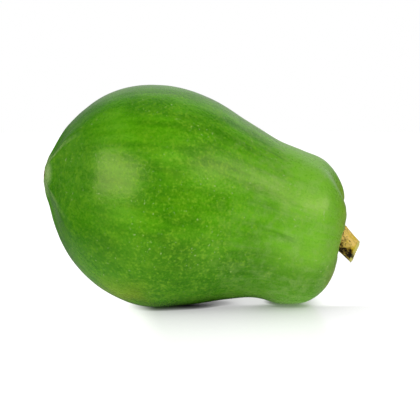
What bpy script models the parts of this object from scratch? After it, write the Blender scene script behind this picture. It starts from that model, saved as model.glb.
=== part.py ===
"""A whole green papaya with its short cut stalk, lying on its side.

The fruit is one solid, lofted round an axis that runs from the blossom tip to the stalk. A meridian
gives the mean outline, and five carpel ridges and the five lobes round the stem hollow are raised
from it by formula. The axis is then tipped until the belly and the shoulder both touch the surface,
where each is pressed to a small flat. The stalk stands in a plain seat at the bottom of the hollow.
Units are metres. +X points from the blossom end to the stalk, -Y is the near side and +Z is up.
"""

import math

import bmesh
import bpy
import numpy as np

# Meridian of the mean skin: distance from the blossom tip along the axis, distance from the axis
MERIDIAN = (
    (0.0000, 0.0000),
    (0.0004, 0.0040),
    (0.0021, 0.0088),
    (0.0062, 0.0170),
    (0.0140, 0.0347),
    (0.0270, 0.0522),
    (0.0470, 0.0653),
    (0.0740, 0.0711),
    (0.1020, 0.0663),
    (0.1260, 0.0578),
    (0.1470, 0.0516),
    (0.1640, 0.0502),
    (0.1790, 0.0467),
    (0.1898, 0.0356),
    (0.1933, 0.0238),
    (0.1902, 0.0140),
    (0.1862, 0.0083),
)
RINGS_PER_SPAN = 3
SIDES = 64

# How the sections lean towards the blossom end, and how the axis strays from a straight line
SECTION_LEAN = 0.072
TIP_LEAN = 0.052
TIP_DROP = 0.0003
BACK_RISE = 0.0018
NECK_SAG = 0.0026
HOLLOW_RISE = 0.0038

# Where those strays begin and end, as distances from the tip along the skin
TIP_LEAN_SPAN = (0.010, 0.060)
TIP_DROP_SPAN = (0.004, 0.030)
BACK_RISE_SPAN = (0.100, 0.140, 0.215)
NECK_SAG_SPAN = (0.176, 0.209)
HOLLOW_RISE_SPAN = (0.232, 0.262)

# Five carpels, with angles taken round the axis from the near side upwards
CARPELS = 5
FIRST_RIDGE = math.radians(47.0)
RIDGE_TWIST = math.radians(-18.0)
RIDGE_DRIFT = math.radians(5.0)
BODY_RIDGE = 0.0005
TIP_RIDGE = 0.0014
TIP_RIDGE_SPAN = (0.005, 0.016, 0.032, 0.090)
LOBE_VALLEY = 0.0035
LOBE_SPAN = (0.196, 0.240)
SHALLOW_VALLEY_TURN = math.radians(-8.0)
SHALLOW_VALLEY_SHARE = 0.90
SHALLOW_VALLEY_SHARPNESS = 6
TOP_LOBE_REACH = 0.0016
TOP_LOBE_TURN = math.radians(110.0)

# Seat of the stalk, and the small flats that the fruit lies on
SEAT_DEPTH = 0.0030
SEAT_BLEND = 0.0090
PRESSED_DEPTH = 0.0010
PRESSED_EDGE = 0.0003
NECK_STARTS = 0.128
STEEPEST_TILT = math.radians(25.0)

# Cut stalk: a straight foot, a bend and a straight end
GAP = 0.0003
STALK_FOOT = 0.0040
STALK_BEND = math.radians(33.0)
STALK_BEND_RADIUS = 0.0110
STALK_END = 0.0170
STALK_TIP_RADIUS = 0.0070
STALK_TAPER_SPAN = (0.006, 0.026)
STALK_RINGS = 13
STALK_SIDES = 40
STALK_RIBS = 7
STALK_RIB = 0.00035
CUT_SLANT = math.tan(math.radians(22.0))
CUT_TURN = math.tan(math.radians(12.0))

SKIN_COLOUR = (0.085, 0.290, 0.010, 1.0)
STALK_COLOUR = (0.520, 0.340, 0.080, 1.0)


def smooth_step(low, high, value):
    """Goes from 0 at low to 1 at high along a cubic."""
    share = np.clip((value - low) / (high - low), 0.0, 1.0)
    return share * share * (3.0 - 2.0 * share)


def smooth_path(points, steps):
    """A cubic path through points that start on the axis, with this many steps in each span.

    The mirror image of the second point across the axis sets the slope at the first.
    """
    stations = np.array([(points[1][0], -points[1][1]), *points])
    spans = np.linalg.norm(np.diff(stations, axis=0), axis=1)
    knots = np.concatenate([[0.0], np.cumsum(np.sqrt(spans))])
    slopes = np.gradient(stations, knots, axis=0)
    path = []
    for index in range(1, len(stations) - 1):
        width = knots[index + 1] - knots[index]
        for t in np.arange(steps) / steps:
            rise = 3 * t**2 - 2 * t**3
            path.append(
                stations[index] * (1 - rise)
                + stations[index + 1] * rise
                + slopes[index] * width * (t**3 - 2 * t**2 + t)
                + slopes[index + 1] * width * (t**3 - t**2)
            )
    path.append(stations[-1])
    return np.array(path)


def carpel_wave(travelled, turn):
    """1 on each of the five ridges and -1 halfway between them."""
    twist = RIDGE_TWIST * travelled / LOBE_SPAN[1]
    return np.cos(CARPELS * (turn - FIRST_RIDGE - twist - RIDGE_DRIFT * np.sin(turn)))


def relief(travelled, turn):
    """Height of the skin over its mean outline, this far from the tip along the skin."""
    wave = carpel_wave(travelled, turn)
    crest = (0.5 + 0.5 * wave) ** 3
    near = (0.5 + 0.5 * np.cos(turn - SHALLOW_VALLEY_TURN)) ** SHALLOW_VALLEY_SHARPNESS
    valley = (0.5 - 0.5 * wave) ** 2 * (1.0 - SHALLOW_VALLEY_SHARE * near)
    rise, full, fade, gone = TIP_RIDGE_SPAN
    near_tip = smooth_step(rise, full, travelled) * (1.0 - smooth_step(fade, gone, travelled))
    body = smooth_step(rise, fade, travelled)
    lobes = smooth_step(*LOBE_SPAN, travelled)
    return TIP_RIDGE * near_tip * crest + BODY_RIDGE * body * wave - LOBE_VALLEY * lobes * valley


def axis_rise(travelled):
    """Height of the axis over a straight line from the blossom end to the stalk."""
    start, crown, end = BACK_RISE_SPAN
    back = smooth_step(start, crown, travelled) * (1.0 - smooth_step(crown, end, travelled))
    return (
        BACK_RISE * back
        - TIP_DROP * (1.0 - smooth_step(*TIP_DROP_SPAN, travelled))
        - NECK_SAG * smooth_step(*NECK_SAG_SPAN, travelled)
        + HOLLOW_RISE * smooth_step(*HOLLOW_RISE_SPAN, travelled)
    )


def ring_points(along, radius, rise, turn):
    """A ring of points round the axis, as X along it, Y away from the near side and Z up."""
    return np.column_stack([along + 0 * turn, -radius * np.cos(turn), rise + radius * np.sin(turn)])


def skin_rings():
    """Rings of the fruit's skin from the blossom tip to the floor of the stalk's seat."""
    path = smooth_path(MERIDIAN, RINGS_PER_SPAN)
    slope = np.gradient(path, axis=0)
    slope[0] = (0.0, 1.0)
    slope /= np.linalg.norm(slope, axis=1, keepdims=True)
    steps = np.linalg.norm(np.diff(path, axis=0), axis=1)
    distance = np.concatenate([[0.0], np.cumsum(steps)])
    shaping = 1.0 - smooth_step(distance[-1] - SEAT_BLEND, distance[-1], distance)
    turn = np.arange(SIDES) * 2.0 * math.pi / SIDES
    rings = []
    for (along, out), (run, climb), travelled, share in zip(path, slope, distance, shaping):
        height = share * relief(travelled, turn)
        reach = share * smooth_step(*LOBE_SPAN, travelled) * TOP_LOBE_REACH * np.cos(turn - TOP_LOBE_TURN)
        radius = out + height * run
        lean = SECTION_LEAN + TIP_LEAN * (1.0 - smooth_step(*TIP_LEAN_SPAN, travelled))
        shift = share * lean * radius * np.sin(turn)
        rings.append(ring_points(along - height * climb + reach - shift, radius, axis_rise(travelled), turn))
    seat_radius = MERIDIAN[-1][1]
    floor = MERIDIAN[-1][0] - SEAT_DEPTH
    rings.append(ring_points(floor, seat_radius, axis_rise(distance[-1]), turn))
    return rings


def stalk_rings(seat_rise):
    """Rings of the stalk from its foot, just over the seat's floor, to the slanted cut."""
    bend_length = STALK_BEND * STALK_BEND_RADIUS
    length = STALK_FOOT + bend_length + STALK_END
    turn = np.arange(STALK_SIDES) * 2.0 * math.pi / STALK_SIDES
    foot_radius = MERIDIAN[-1][1] - GAP
    rib = 1.0 - STALK_RIB / foot_radius * (0.5 + 0.5 * np.cos(STALK_RIBS * turn))
    rings = []
    for travelled in np.linspace(0.0, length, STALK_RINGS):
        bent = np.clip((travelled - STALK_FOOT) / bend_length, 0.0, 1.0) * STALK_BEND
        end = max(travelled - STALK_FOOT - bend_length, 0.0)
        along = min(travelled, STALK_FOOT) + STALK_BEND_RADIUS * math.sin(bent) + end * math.cos(bent)
        drop = STALK_BEND_RADIUS * (1.0 - math.cos(bent)) + end * math.sin(bent)
        taper = smooth_step(*STALK_TAPER_SPAN, travelled)
        radius = (foot_radius + (STALK_TIP_RADIUS - foot_radius) * taper) * rib
        across = -radius * np.cos(turn)
        up = radius * np.sin(turn)
        ahead = (CUT_TURN * across - CUT_SLANT * up) * end / STALK_END
        centre = MERIDIAN[-1][0] - SEAT_DEPTH + GAP + along
        x = centre + up * math.sin(bent) + ahead * math.cos(bent)
        z = seat_rise - drop + up * math.cos(bent) - ahead * math.sin(bent)
        rings.append(np.column_stack([x, across, z]))
    return rings


def tipped(points, tilt):
    """Points after the axis is tipped, so that its stem end is lower by the tilt."""
    x, y, z = np.moveaxis(points, -1, 0)
    cosine, sine = math.cos(tilt), math.sin(tilt)
    return np.stack([x * cosine + z * sine, y, z * cosine - x * sine], axis=-1)


def resting_tilt(skin):
    """The tilt at which the belly and the shoulder both touch a level surface, by bisection."""
    neck = skin[:, 0] > NECK_STARTS
    low, high = 0.0, STEEPEST_TILT
    for _ in range(40):
        tilt = 0.5 * (low + high)
        height = tipped(skin, tilt)[:, 2]
        if height[neck].min() < height[~neck].min():
            high = tilt
        else:
            low = tilt
    return tilt


def pressed(height):
    """Height of the skin once the fruit's weight has flattened what would reach below the surface."""
    blend = (height + PRESSED_EDGE) ** 2 / (4.0 * PRESSED_EDGE)
    return np.where(height > PRESSED_EDGE, height, np.where(height < -PRESSED_EDGE, 0.0, blend))


def solid(name, rings, material):
    """A closed mesh through the rings, with its two ends filled."""
    mesh = bmesh.new()
    rows = []
    for ring in rings:
        points = ring[:1] if np.ptp(ring, axis=0).max() < GAP else ring
        rows.append([mesh.verts.new(point) for point in points])
    for low, high in zip(rows, rows[1:]):
        for index, corner in enumerate(high):
            after = (index + 1) % len(high)
            if len(low) == 1:
                mesh.faces.new((low[0], high[after], corner))
            else:
                mesh.faces.new((low[index], low[after], high[after], corner))
    for end in (rows[0], rows[-1]):
        if len(end) > 1:
            mesh.faces.new(end)
    bmesh.ops.recalc_face_normals(mesh, faces=mesh.faces)
    data = bpy.data.meshes.new(name)
    mesh.to_mesh(data)
    mesh.free()
    data.shade_smooth()
    data.set_sharp_from_angle(angle=math.radians(45.0))
    data.materials.append(material)
    piece = bpy.data.objects.new(name, data)
    bpy.context.scene.collection.objects.link(piece)
    return piece


def finish(name, colour, roughness):
    """A plain material in one colour."""
    material = bpy.data.materials.new(name)
    material.use_nodes = True
    shader = material.node_tree.nodes["Principled BSDF"]
    shader.inputs["Base Color"].default_value = colour
    shader.inputs["Roughness"].default_value = roughness
    shader.inputs["Metallic"].default_value = 0.0
    return material


def main():
    """Builds the fruit and its stalk, standing on z = 0 with the box's middle over the origin."""
    for item in list(bpy.data.objects):
        bpy.data.objects.remove(item)
    skin = np.array(skin_rings())
    stalk = np.array(stalk_rings(skin[-1, :, 2].mean()))
    tilt = resting_tilt(skin.reshape(-1, 3))
    skin, stalk = tipped(skin, tilt), tipped(stalk, tilt)
    both = np.concatenate([skin.reshape(-1, 3), stalk.reshape(-1, 3)])
    middle = 0.5 * (both.min(axis=0) + both.max(axis=0))
    move = np.array([-middle[0], -middle[1], -both[:, 2].min() - PRESSED_DEPTH])
    skin, stalk = skin + move, stalk + move
    skin[..., 2] = pressed(skin[..., 2])
    solid("fruit", skin, finish("green_skin", SKIN_COLOUR, 0.35))
    solid("stalk", stalk, finish("dry_stalk", STALK_COLOUR, 0.70))


main()
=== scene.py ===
"""A whole green papaya with its short cut stalk, dressed and lit on a white studio floor.

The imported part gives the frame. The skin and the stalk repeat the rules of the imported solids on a
fine grid, worked out by Geometry Nodes, with the small relief of the real fruit added, and each is
fitted to the box of the solid that it stands for. Units are metres. +X points from the blossom end
to the stalk, -Y is the near side and +Z is up.
"""

import logging
import math
from abc import ABC, abstractmethod
from collections.abc import Mapping, Sequence
from dataclasses import dataclass, field, fields
from enum import Enum

import bpy
import numpy as np
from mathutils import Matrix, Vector


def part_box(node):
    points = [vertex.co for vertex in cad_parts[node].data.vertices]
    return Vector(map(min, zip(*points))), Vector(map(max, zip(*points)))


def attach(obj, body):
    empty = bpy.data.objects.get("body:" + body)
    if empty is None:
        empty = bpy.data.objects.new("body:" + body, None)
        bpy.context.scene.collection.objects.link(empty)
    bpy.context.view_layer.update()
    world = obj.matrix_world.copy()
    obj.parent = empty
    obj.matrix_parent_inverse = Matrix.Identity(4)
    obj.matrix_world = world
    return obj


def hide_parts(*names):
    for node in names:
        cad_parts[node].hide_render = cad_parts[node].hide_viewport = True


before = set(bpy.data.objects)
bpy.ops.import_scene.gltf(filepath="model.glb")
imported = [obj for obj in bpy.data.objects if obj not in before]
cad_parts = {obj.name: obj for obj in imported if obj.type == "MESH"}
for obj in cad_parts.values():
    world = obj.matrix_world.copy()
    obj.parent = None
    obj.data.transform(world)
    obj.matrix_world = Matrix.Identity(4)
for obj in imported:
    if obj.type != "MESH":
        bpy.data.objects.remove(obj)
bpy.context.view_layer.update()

LOG = logging.getLogger("papaya")
BODY = "root"
SKIN_ATTRIBUTE = "skin"
RIDGE_ATTRIBUTE = "ridge"
CUT_ATTRIBUTE = "cut"
PLAN_ATTRIBUTE = "plan"
SEAM = 1e-6
TILT = math.radians(12.17)
MIDDLE = (-0.005, 0.0, 0.07)


class Slot(Enum):
    """The material slots of the record."""

    SKIN = "green_skin"
    STALK = "dry_stalk"


Colour = tuple[float, float, float, float]
Ends = tuple[float, float]
Band = tuple[float, float, float]
Term = "Value | float | int | bool | Sequence[float] | str | bpy.types.ID"


def srgb(red: int, green: int, blue: int) -> Colour:
    """A colour as the shaders take it, from the numbers that a picture shows it by.

    Args:
        red: Red from 0 to 255.
        green: Green from 0 to 255.
        blue: Blue from 0 to 255.

    Returns:
        The linear colour with full alpha.
    """
    shares = [channel / 255.0 for channel in (red, green, blue)]
    linear = [share / 12.92 if share <= 0.04045 else ((share + 0.055) / 1.055) ** 2.4 for share in shares]
    return (linear[0], linear[1], linear[2], 1.0)


@dataclass(frozen=True)
class Value:
    """An output socket, so that an expression on it adds the nodes that work it out."""

    tree: "Tree"
    socket: bpy.types.NodeSocket

    def maths(self, operation: str, *terms: Term) -> "Value":
        """The result of a Math node.

        Args:
            operation: The node's operation.
            terms: Its inputs in order.

        Returns:
            The node's output.
        """
        return self.tree.value("ShaderNodeMath", {"operation": operation}, dict(enumerate(terms)))

    def __add__(self, other: Term) -> "Value":
        """The sum of two values."""
        return self.maths("ADD", self, other)

    def __radd__(self, other: Term) -> "Value":
        """The sum of a number and a value."""
        return self.maths("ADD", other, self)

    def __sub__(self, other: Term) -> "Value":
        """The difference of two values."""
        return self.maths("SUBTRACT", self, other)

    def __rsub__(self, other: Term) -> "Value":
        """The difference of a number and a value."""
        return self.maths("SUBTRACT", other, self)

    def __mul__(self, other: Term) -> "Value":
        """The product of two values."""
        return self.maths("MULTIPLY", self, other)

    def __rmul__(self, other: Term) -> "Value":
        """The product of a number and a value."""
        return self.maths("MULTIPLY", other, self)

    def __truediv__(self, other: Term) -> "Value":
        """The quotient of two values."""
        return self.maths("DIVIDE", self, other)

    def __rtruediv__(self, other: Term) -> "Value":
        """The quotient of a number and a value."""
        return self.maths("DIVIDE", other, self)

    def __pow__(self, other: Term) -> "Value":
        """This value raised to a power."""
        return self.maths("POWER", self, other)

    def __neg__(self) -> "Value":
        """This value with its sign turned."""
        return self.maths("MULTIPLY", self, -1.0)

    def sine(self) -> "Value":
        """The sine of this angle."""
        return self.maths("SINE", self)

    def cosine(self) -> "Value":
        """The cosine of this angle."""
        return self.maths("COSINE", self)

    def at_least(self, other: Term) -> "Value":
        """The larger of two values."""
        return self.maths("MAXIMUM", self, other)

    def at_most(self, other: Term) -> "Value":
        """The smaller of two values."""
        return self.maths("MINIMUM", self, other)

    def between(self, low: Term, high: Term) -> "Value":
        """This value held between two others."""
        return self.at_least(low).at_most(high)

    def step(self, low: Term, high: Term) -> "Value":
        """A smooth change from 0 to 1.

        Args:
            low: The value at which the result is 0.
            high: The value at which the result is 1.

        Returns:
            The cubic step between the two.
        """
        ends = {"Value": self, "From Min": low, "From Max": high}
        return self.tree.value("ShaderNodeMapRange", {"interpolation_type": "SMOOTHSTEP"}, ends)

    def band(self, low: float, high: float, edge: float) -> "Value":
        """1 between two values and 0 outside them.

        Args:
            low: Where the band begins.
            high: Where the band ends.
            edge: How far each end takes to fade.

        Returns:
            The share of the band.
        """
        return self.step(low - edge, low + edge) * (1 - self.step(high - edge, high + edge))


class Tree:
    """Adds nodes to a shader tree or a Geometry Nodes tree."""

    def __init__(self, nodes: bpy.types.NodeTree) -> None:
        """Takes the tree that the nodes go into."""
        self.nodes = nodes

    def node(
        self,
        kind: str,
        settings: Mapping[str, object] | None = None,
        inputs: Mapping[str | int, Term] | None = None,
    ) -> bpy.types.Node:
        """Adds one node.

        Args:
            kind: The node's type.
            settings: Its settings by name, set before its sockets.
            inputs: The value or the link of each socket, by the socket's name or its number.

        Returns:
            The new node.
        """
        node = self.nodes.nodes.new(kind)
        for name, setting in (settings or {}).items():
            setattr(node, name, setting)
        self.connect(node, inputs or {})
        return node

    def connect(self, node: bpy.types.Node, inputs: Mapping[str | int, Term]) -> None:
        """Sets or links the sockets of a node.

        Args:
            node: The node.
            inputs: The value or the link of each socket, by the socket's name or its number.
        """
        for key, term in inputs.items():
            socket = node.inputs[key] if isinstance(key, int) else self._named(node.inputs, key)
            if isinstance(term, Value):
                self.nodes.links.new(term.socket, socket)
            else:
                socket.default_value = term

    def value(
        self,
        kind: str,
        settings: Mapping[str, object] | None = None,
        inputs: Mapping[str | int, Term] | None = None,
        output: str | None = None,
    ) -> Value:
        """Adds one node and takes one of its outputs.

        Args:
            kind: The node's type.
            settings: Its settings by name.
            inputs: The value or the link of each socket.
            output: The output's name, or None for the first one in use.

        Returns:
            The output.
        """
        node = self.node(kind, settings, inputs)
        return self.output(node, output)

    def output(self, node: bpy.types.Node, name: str | None = None) -> Value:
        """One output of a node.

        Args:
            node: The node.
            name: The output's name, or None for the first one in use.

        Returns:
            The output.
        """
        if name is None:
            return Value(self, next(socket for socket in node.outputs if socket.enabled))
        return Value(self, self._named(node.outputs, name))

    def split(self, vector: Value) -> tuple[Value, Value, Value]:
        """The three numbers of a vector."""
        node = self.node("ShaderNodeSeparateXYZ", inputs={"Vector": vector})
        return self.output(node, "X"), self.output(node, "Y"), self.output(node, "Z")

    def vector(self, x: Term, y: Term, z: Term) -> Value:
        """A vector from three numbers."""
        return self.value("ShaderNodeCombineXYZ", inputs={"X": x, "Y": y, "Z": z})

    def vectors(self, operation: str, *terms: Term) -> Value:
        """The result of a Vector Math node on vectors, in order."""
        return self.value("ShaderNodeVectorMath", {"operation": operation}, dict(enumerate(terms)))

    def scaled(self, vector: Value, scale: Term) -> Value:
        """A vector times a number."""
        return self.value("ShaderNodeVectorMath", {"operation": "SCALE"}, {"Vector": vector, "Scale": scale})

    def blend(self, share: Term, first: Term, second: Term) -> Value:
        """A colour between two others.

        Args:
            share: 0 for the first colour and 1 for the second.
            first: The first colour.
            second: The second colour.

        Returns:
            The mixed colour.
        """
        settings = {"data_type": "RGBA", "blend_type": "MIX"}
        return self.value("ShaderNodeMix", settings, {"Factor": share, "A": first, "B": second})

    def noise(self, place: Value, size: float, seed: Term = 0.0, detail: float = 2.0) -> Value:
        """Smooth noise from about 0.2 to 0.8, with a middle of 0.5.

        Args:
            place: Where it is read, in metres.
            size: About how far one swell is from the next, in metres.
            seed: Which of the many such patterns it is.
            detail: How many finer layers it has.

        Returns:
            The noise.
        """
        inputs = {"Vector": place, "W": seed, "Scale": 1.0 / size, "Detail": detail}
        return self.value("ShaderNodeTexNoise", {"noise_dimensions": "4D"}, inputs)

    def stored(self, geometry: Value, name: str, value: Value, kind: str = "FLOAT_VECTOR") -> Value:
        """A geometry that keeps a value on its points.

        Args:
            geometry: The geometry.
            name: The name to keep it under.
            value: The value.
            kind: Its data type.

        Returns:
            The same geometry with the value.
        """
        inputs = {"Geometry": geometry, "Name": name, "Value": value}
        return self.value("GeometryNodeStoreNamedAttribute", {"data_type": kind}, inputs)

    def recalled(self, name: str, kind: str = "FLOAT_VECTOR") -> Value:
        """What the points of a geometry keep under a name."""
        return self.value("GeometryNodeInputNamedAttribute", {"data_type": kind}, {"Name": name})

    def moved(self, geometry: Value, place: Value) -> Value:
        """A geometry with its points at new places."""
        return self.value("GeometryNodeSetPosition", inputs={"Geometry": geometry, "Position": place})

    def place(self) -> Value:
        """The shaded point of the object, in metres."""
        return self.value("ShaderNodeTexCoord", output="Object")

    def attribute(self, name: str, output: str = "Vector") -> Value:
        """What the shaded mesh keeps under a name."""
        return self.value("ShaderNodeAttribute", {"attribute_name": name}, output=output)

    @staticmethod
    def _named(sockets: bpy.types.NodeInputs, name: str) -> bpy.types.NodeSocket:
        """The socket of this name that the node's settings leave in use."""
        return next(socket for socket in sockets if socket.enabled and socket.name == name)


class Form:
    """A Geometry Nodes tree with a named input for each size, made into a plain mesh."""

    def __init__(self, name: str, *groups: object) -> None:
        """Starts the tree.

        Args:
            name: The tree's name.
            groups: Dataclasses, each number or vector field of which is an input.
        """
        self.group = bpy.data.node_groups.new(name, "GeometryNodeTree")
        self.tree = Tree(self.group)
        self.sizes: dict[str, object] = {}
        self.group.interface.new_socket("Base", in_out="INPUT", socket_type="NodeSocketGeometry")
        for group in groups:
            for entry in fields(group):
                self._declare(entry.name, getattr(group, entry.name))
        self.group.interface.new_socket("Geometry", in_out="OUTPUT", socket_type="NodeSocketGeometry")
        self.entry = self.tree.node("NodeGroupInput")

    def __getitem__(self, name: str) -> Value:
        """The input for one field, or the base geometry."""
        return self.tree.output(self.entry, self._label(name))

    def make(
        self, name: str, geometry: Value, base: bpy.types.Mesh, finish: bpy.types.Material
    ) -> bpy.types.Object:
        """Ends the tree, runs it and leaves a piece with the plain mesh that it gives.

        Args:
            name: The piece's name.
            geometry: What the tree has made.
            base: The mesh that the tree starts from.
            finish: The material of the whole piece, or of the faces that have none yet.

        Returns:
            The piece, with no modifier left on it.
        """
        real = self.tree.value("GeometryNodeRealizeInstances", inputs={"Geometry": geometry})
        dressed = self.tree.value("GeometryNodeSetMaterial", inputs={"Geometry": real, "Material": finish})
        self.tree.node("NodeGroupOutput", inputs={"Geometry": dressed})
        piece = bpy.data.objects.new(name, base)
        bpy.context.scene.collection.objects.link(piece)
        modifier = piece.modifiers.new(self.group.name, "NODES")
        modifier.node_group = self.group
        for socket in self.group.interface.items_tree:
            if socket.in_out == "INPUT" and socket.name in self.sizes:
                modifier[socket.identifier] = self.sizes[socket.name]
        graph = bpy.context.evaluated_depsgraph_get()
        shaped = piece.evaluated_get(graph)
        mesh = bpy.data.meshes.new_from_object(shaped, preserve_all_data_layers=True, depsgraph=graph)
        piece.modifiers.remove(modifier)
        piece.data = mesh
        mesh.name = name
        mesh.shade_smooth()
        return piece

    def _declare(self, name: str, size: object) -> None:
        """Adds an input for a size, unless it is of a kind that the tree doesn't take.

        Args:
            name: The field's name.
            size: Its value.
        """
        kinds = {float: "NodeSocketFloat", int: "NodeSocketInt", Vector: "NodeSocketVector"}
        kind = kinds.get(type(size))
        if kind is None:
            return
        self.group.interface.new_socket(self._label(name), in_out="INPUT", socket_type=kind)
        self.sizes[self._label(name)] = size

    @staticmethod
    def _label(name: str) -> str:
        """A field's name as a reader sees it."""
        return name.replace("_", " ").capitalize()


class Finish(ABC):
    """A procedural material, made once."""

    label: str

    def material(self) -> bpy.types.Material:
        """The material, from its own nodes.

        Returns:
            The same material each time.
        """
        made = bpy.data.materials.get(self.label)
        if made is None:
            made = bpy.data.materials.new(self.label)
            made.use_nodes = True
            tree = Tree(made.node_tree)
            tree.connect(made.node_tree.nodes["Principled BSDF"], self.paint(tree))
        return made

    @abstractmethod
    def paint(self, tree: Tree) -> dict[str, Term]:
        """Adds this finish's nodes.

        Args:
            tree: The material's tree.

        Returns:
            The value or the link of each socket of the shader, by name.
        """

    @staticmethod
    def bump(tree: Tree, height: Value, depth: float) -> Value:
        """A normal that follows a height.

        Args:
            tree: The material's tree.
            height: The height from 0 to 1.
            depth: How high 1 is, in metres.

        Returns:
            The normal.
        """
        return tree.value("ShaderNodeBump", inputs={"Distance": depth, "Height": height})


@dataclass(frozen=True)
class GreenSkin(Finish):
    """The waxy skin of an unripe papaya: greens in soft streaks under a yellow-green speckle.

    Spans are distances from the tip along the skin, and the pairs named height or along are places,
    all in metres. Every other pair holds the two values between which a pattern fades in. Shares say
    how much of a colour shows.
    """

    label: str = "waxy_green_skin"
    deep: Colour = srgb(48, 114, 2)
    green: Colour = srgb(88, 164, 6)
    fresh: Colour = srgb(127, 193, 52)
    mottle: Colour = srgb(106, 164, 16)
    speck: Colour = srgb(134, 188, 38)
    ripening: Colour = srgb(172, 168, 30)
    # Pale green of the flecks, also used for the painted highlights near the tip and the painted sheen on
    # the neck.
    pale: Colour = srgb(172, 196, 128)
    girth: float = 0.06
    patch_size: float = 0.034
    streak_size: float = 0.0055
    streak_stretch: float = 0.16
    streak_green: Ends = (0.36, 0.60)
    green_least: float = 0.25
    streak_fresh: Ends = (0.50, 0.70)
    streak_fresh_share: float = 0.35
    # Painted shade towards the blossom end: where it fades out and how much of it shows.
    tip_shade_span: Ends = (0.040, 0.115)
    tip_shade_share: float = 0.70
    fresh_span: Ends = (0.150, 0.220)
    fresh_share: float = 0.76
    # Painted shade low on the sides: where it shows and how much.
    shaded_low_side: Band = (-0.84, -0.36, 0.20)
    shaded_low_side_share: float = 0.66
    neck_span: Ends = (0.120, 0.190)
    belly_around: float = 0.9
    belly_down: float = 0.5
    belly_facing: Ends = (-0.2, 0.9)
    belly_share: float = 0.3
    cluster_size: float = 0.018
    busy: Ends = (0.38, 0.72)
    mottle_size: float = 0.0048
    mottled: Ends = (0.42, 0.68)
    mottle_least: float = 0.03
    mottle_busy: float = 0.25
    speck_size: float = 0.0017
    specked: Ends = (0.50, 0.72)
    speck_least: float = 0.14
    speck_busy: float = 0.36
    speck_span: Ends = (0.060, 0.130)
    speck_at_tip: float = 0.42
    dimmed: Ends = (0.50, 0.30)
    dim_share: float = 0.20
    dim_lost_on_neck: float = 0.17
    blemish_size: float = 0.0075
    blemished: Ends = (0.62, 0.74)
    blemish_span: Ends = (0.080, 0.140)
    blemish_share: float = 0.45
    line_size: float = 0.0022
    line_stretch: float = 0.05
    lined: Ends = (0.58, 0.74)
    line_share: float = 0.22
    # Painted sheen on the neck: where it shows and how much.
    neck_sheen_lined: Ends = (0.50, 0.72)
    neck_sheen_line_share: float = 0.07
    neck_sheened: Ends = (0.40, 0.70)
    neck_sheen_share: float = 0.15
    fleck_size: float = 0.0016
    flecked: Ends = (0.70, 0.82)
    fleck_clusters: Ends = (0.44, 0.60)
    fleck_share: float = 0.55
    # Patchy noise that breaks up the painted highlights near the tip.
    worn_size: float = 0.012
    worn: Ends = (0.34, 0.60)
    crest_highlight_least: float = 0.14
    crest_highlight_patchy: float = 0.46
    crest: Ends = (0.94, 1.0)
    crest_rise: Ends = (0.004, 0.010)
    crest_fade: Ends = (0.014, 0.054)
    # Painted highlight over the tip: how much shows and where it fades out.
    tip_highlight_least: float = 0.35
    tip_highlight_patchy: float = 0.35
    tip_highlight_span: Ends = (0.008, 0.017)
    hollow_span: Ends = (0.222, 0.250)
    hollow_crest: Ends = (-0.4, 0.8)
    hollow_share: float = 0.225
    hollow_crest_share: float = 0.2
    blush_size: float = 0.026
    blushed: Ends = (0.36, 0.60)
    blush_share: float = 0.6
    low_rim_height: Ends = (0.024, 0.056)
    low_rim_along: Ends = (0.072, 0.087)
    low_rim_share: float = 1.4
    underside_height: Ends = (0.006, 0.030)
    underside_along: Ends = (-0.030, -0.050)
    underside_share: float = 0.5
    gloss: float = 0.52
    gloss_tint: Colour = (1.0, 0.98, 0.37, 1.0)
    rough: float = 0.16
    rough_grain: float = 0.16
    rough_clusters: float = 0.10
    grain_depth: float = 0.00022

    def paint(self, tree: Tree) -> dict[str, Term]:
        """Adds the skin's nodes.

        Args:
            tree: The material's tree.

        Returns:
            The value or the link of each socket of the shader, by name.
        """
        place = tree.place()
        wave = tree.attribute(RIDGE_ATTRIBUTE, "Fac")
        around, lift, travelled = tree.split(tree.attribute(SKIN_ATTRIBUTE))
        lengthwise = tree.vector(around * self.girth, lift * self.girth, travelled * self.streak_stretch)
        drawn = tree.vector(around * self.girth, lift * self.girth, travelled * self.line_stretch)
        clusters = tree.noise(place, self.cluster_size, seed=4.0)
        mottles = tree.noise(place, self.mottle_size, seed=5.0)
        grain = tree.noise(place, self.speck_size, seed=3.0, detail=1.0)
        lines = tree.noise(drawn, self.line_size, seed=6.0, detail=1.0)
        neck = travelled.step(*self.neck_span)
        facing = around * self.belly_around - lift * self.belly_down
        belly = facing.step(*self.belly_facing) * (1 - neck) * self.belly_share
        busy = (clusters + belly).step(*self.busy)
        colour = self._greens(tree, place, lengthwise, travelled, lift)
        shown = mottles.step(*self.mottled) * (busy * self.mottle_busy + self.mottle_least)
        colour = tree.blend(shown, colour, self.mottle)
        beyond_tip = self.speck_at_tip + (1.0 - self.speck_at_tip) * travelled.step(*self.speck_span)
        shown = grain.step(*self.specked) * (busy * self.speck_busy + self.speck_least) * beyond_tip
        colour = tree.blend(shown, colour, self.speck)
        shown = grain.step(*self.dimmed) * (self.dim_share - self.dim_lost_on_neck * neck)
        colour = tree.blend(shown, colour, self.deep)
        blemishes = tree.noise(lengthwise, self.blemish_size, seed=13.0).step(*self.blemished)
        shown = blemishes * travelled.step(*self.blemish_span) * self.blemish_share
        colour = tree.blend(shown, colour, self.deep)
        colour = tree.blend(lines.step(*self.lined) * (1 - neck) * self.line_share, colour, self.mottle)
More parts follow.
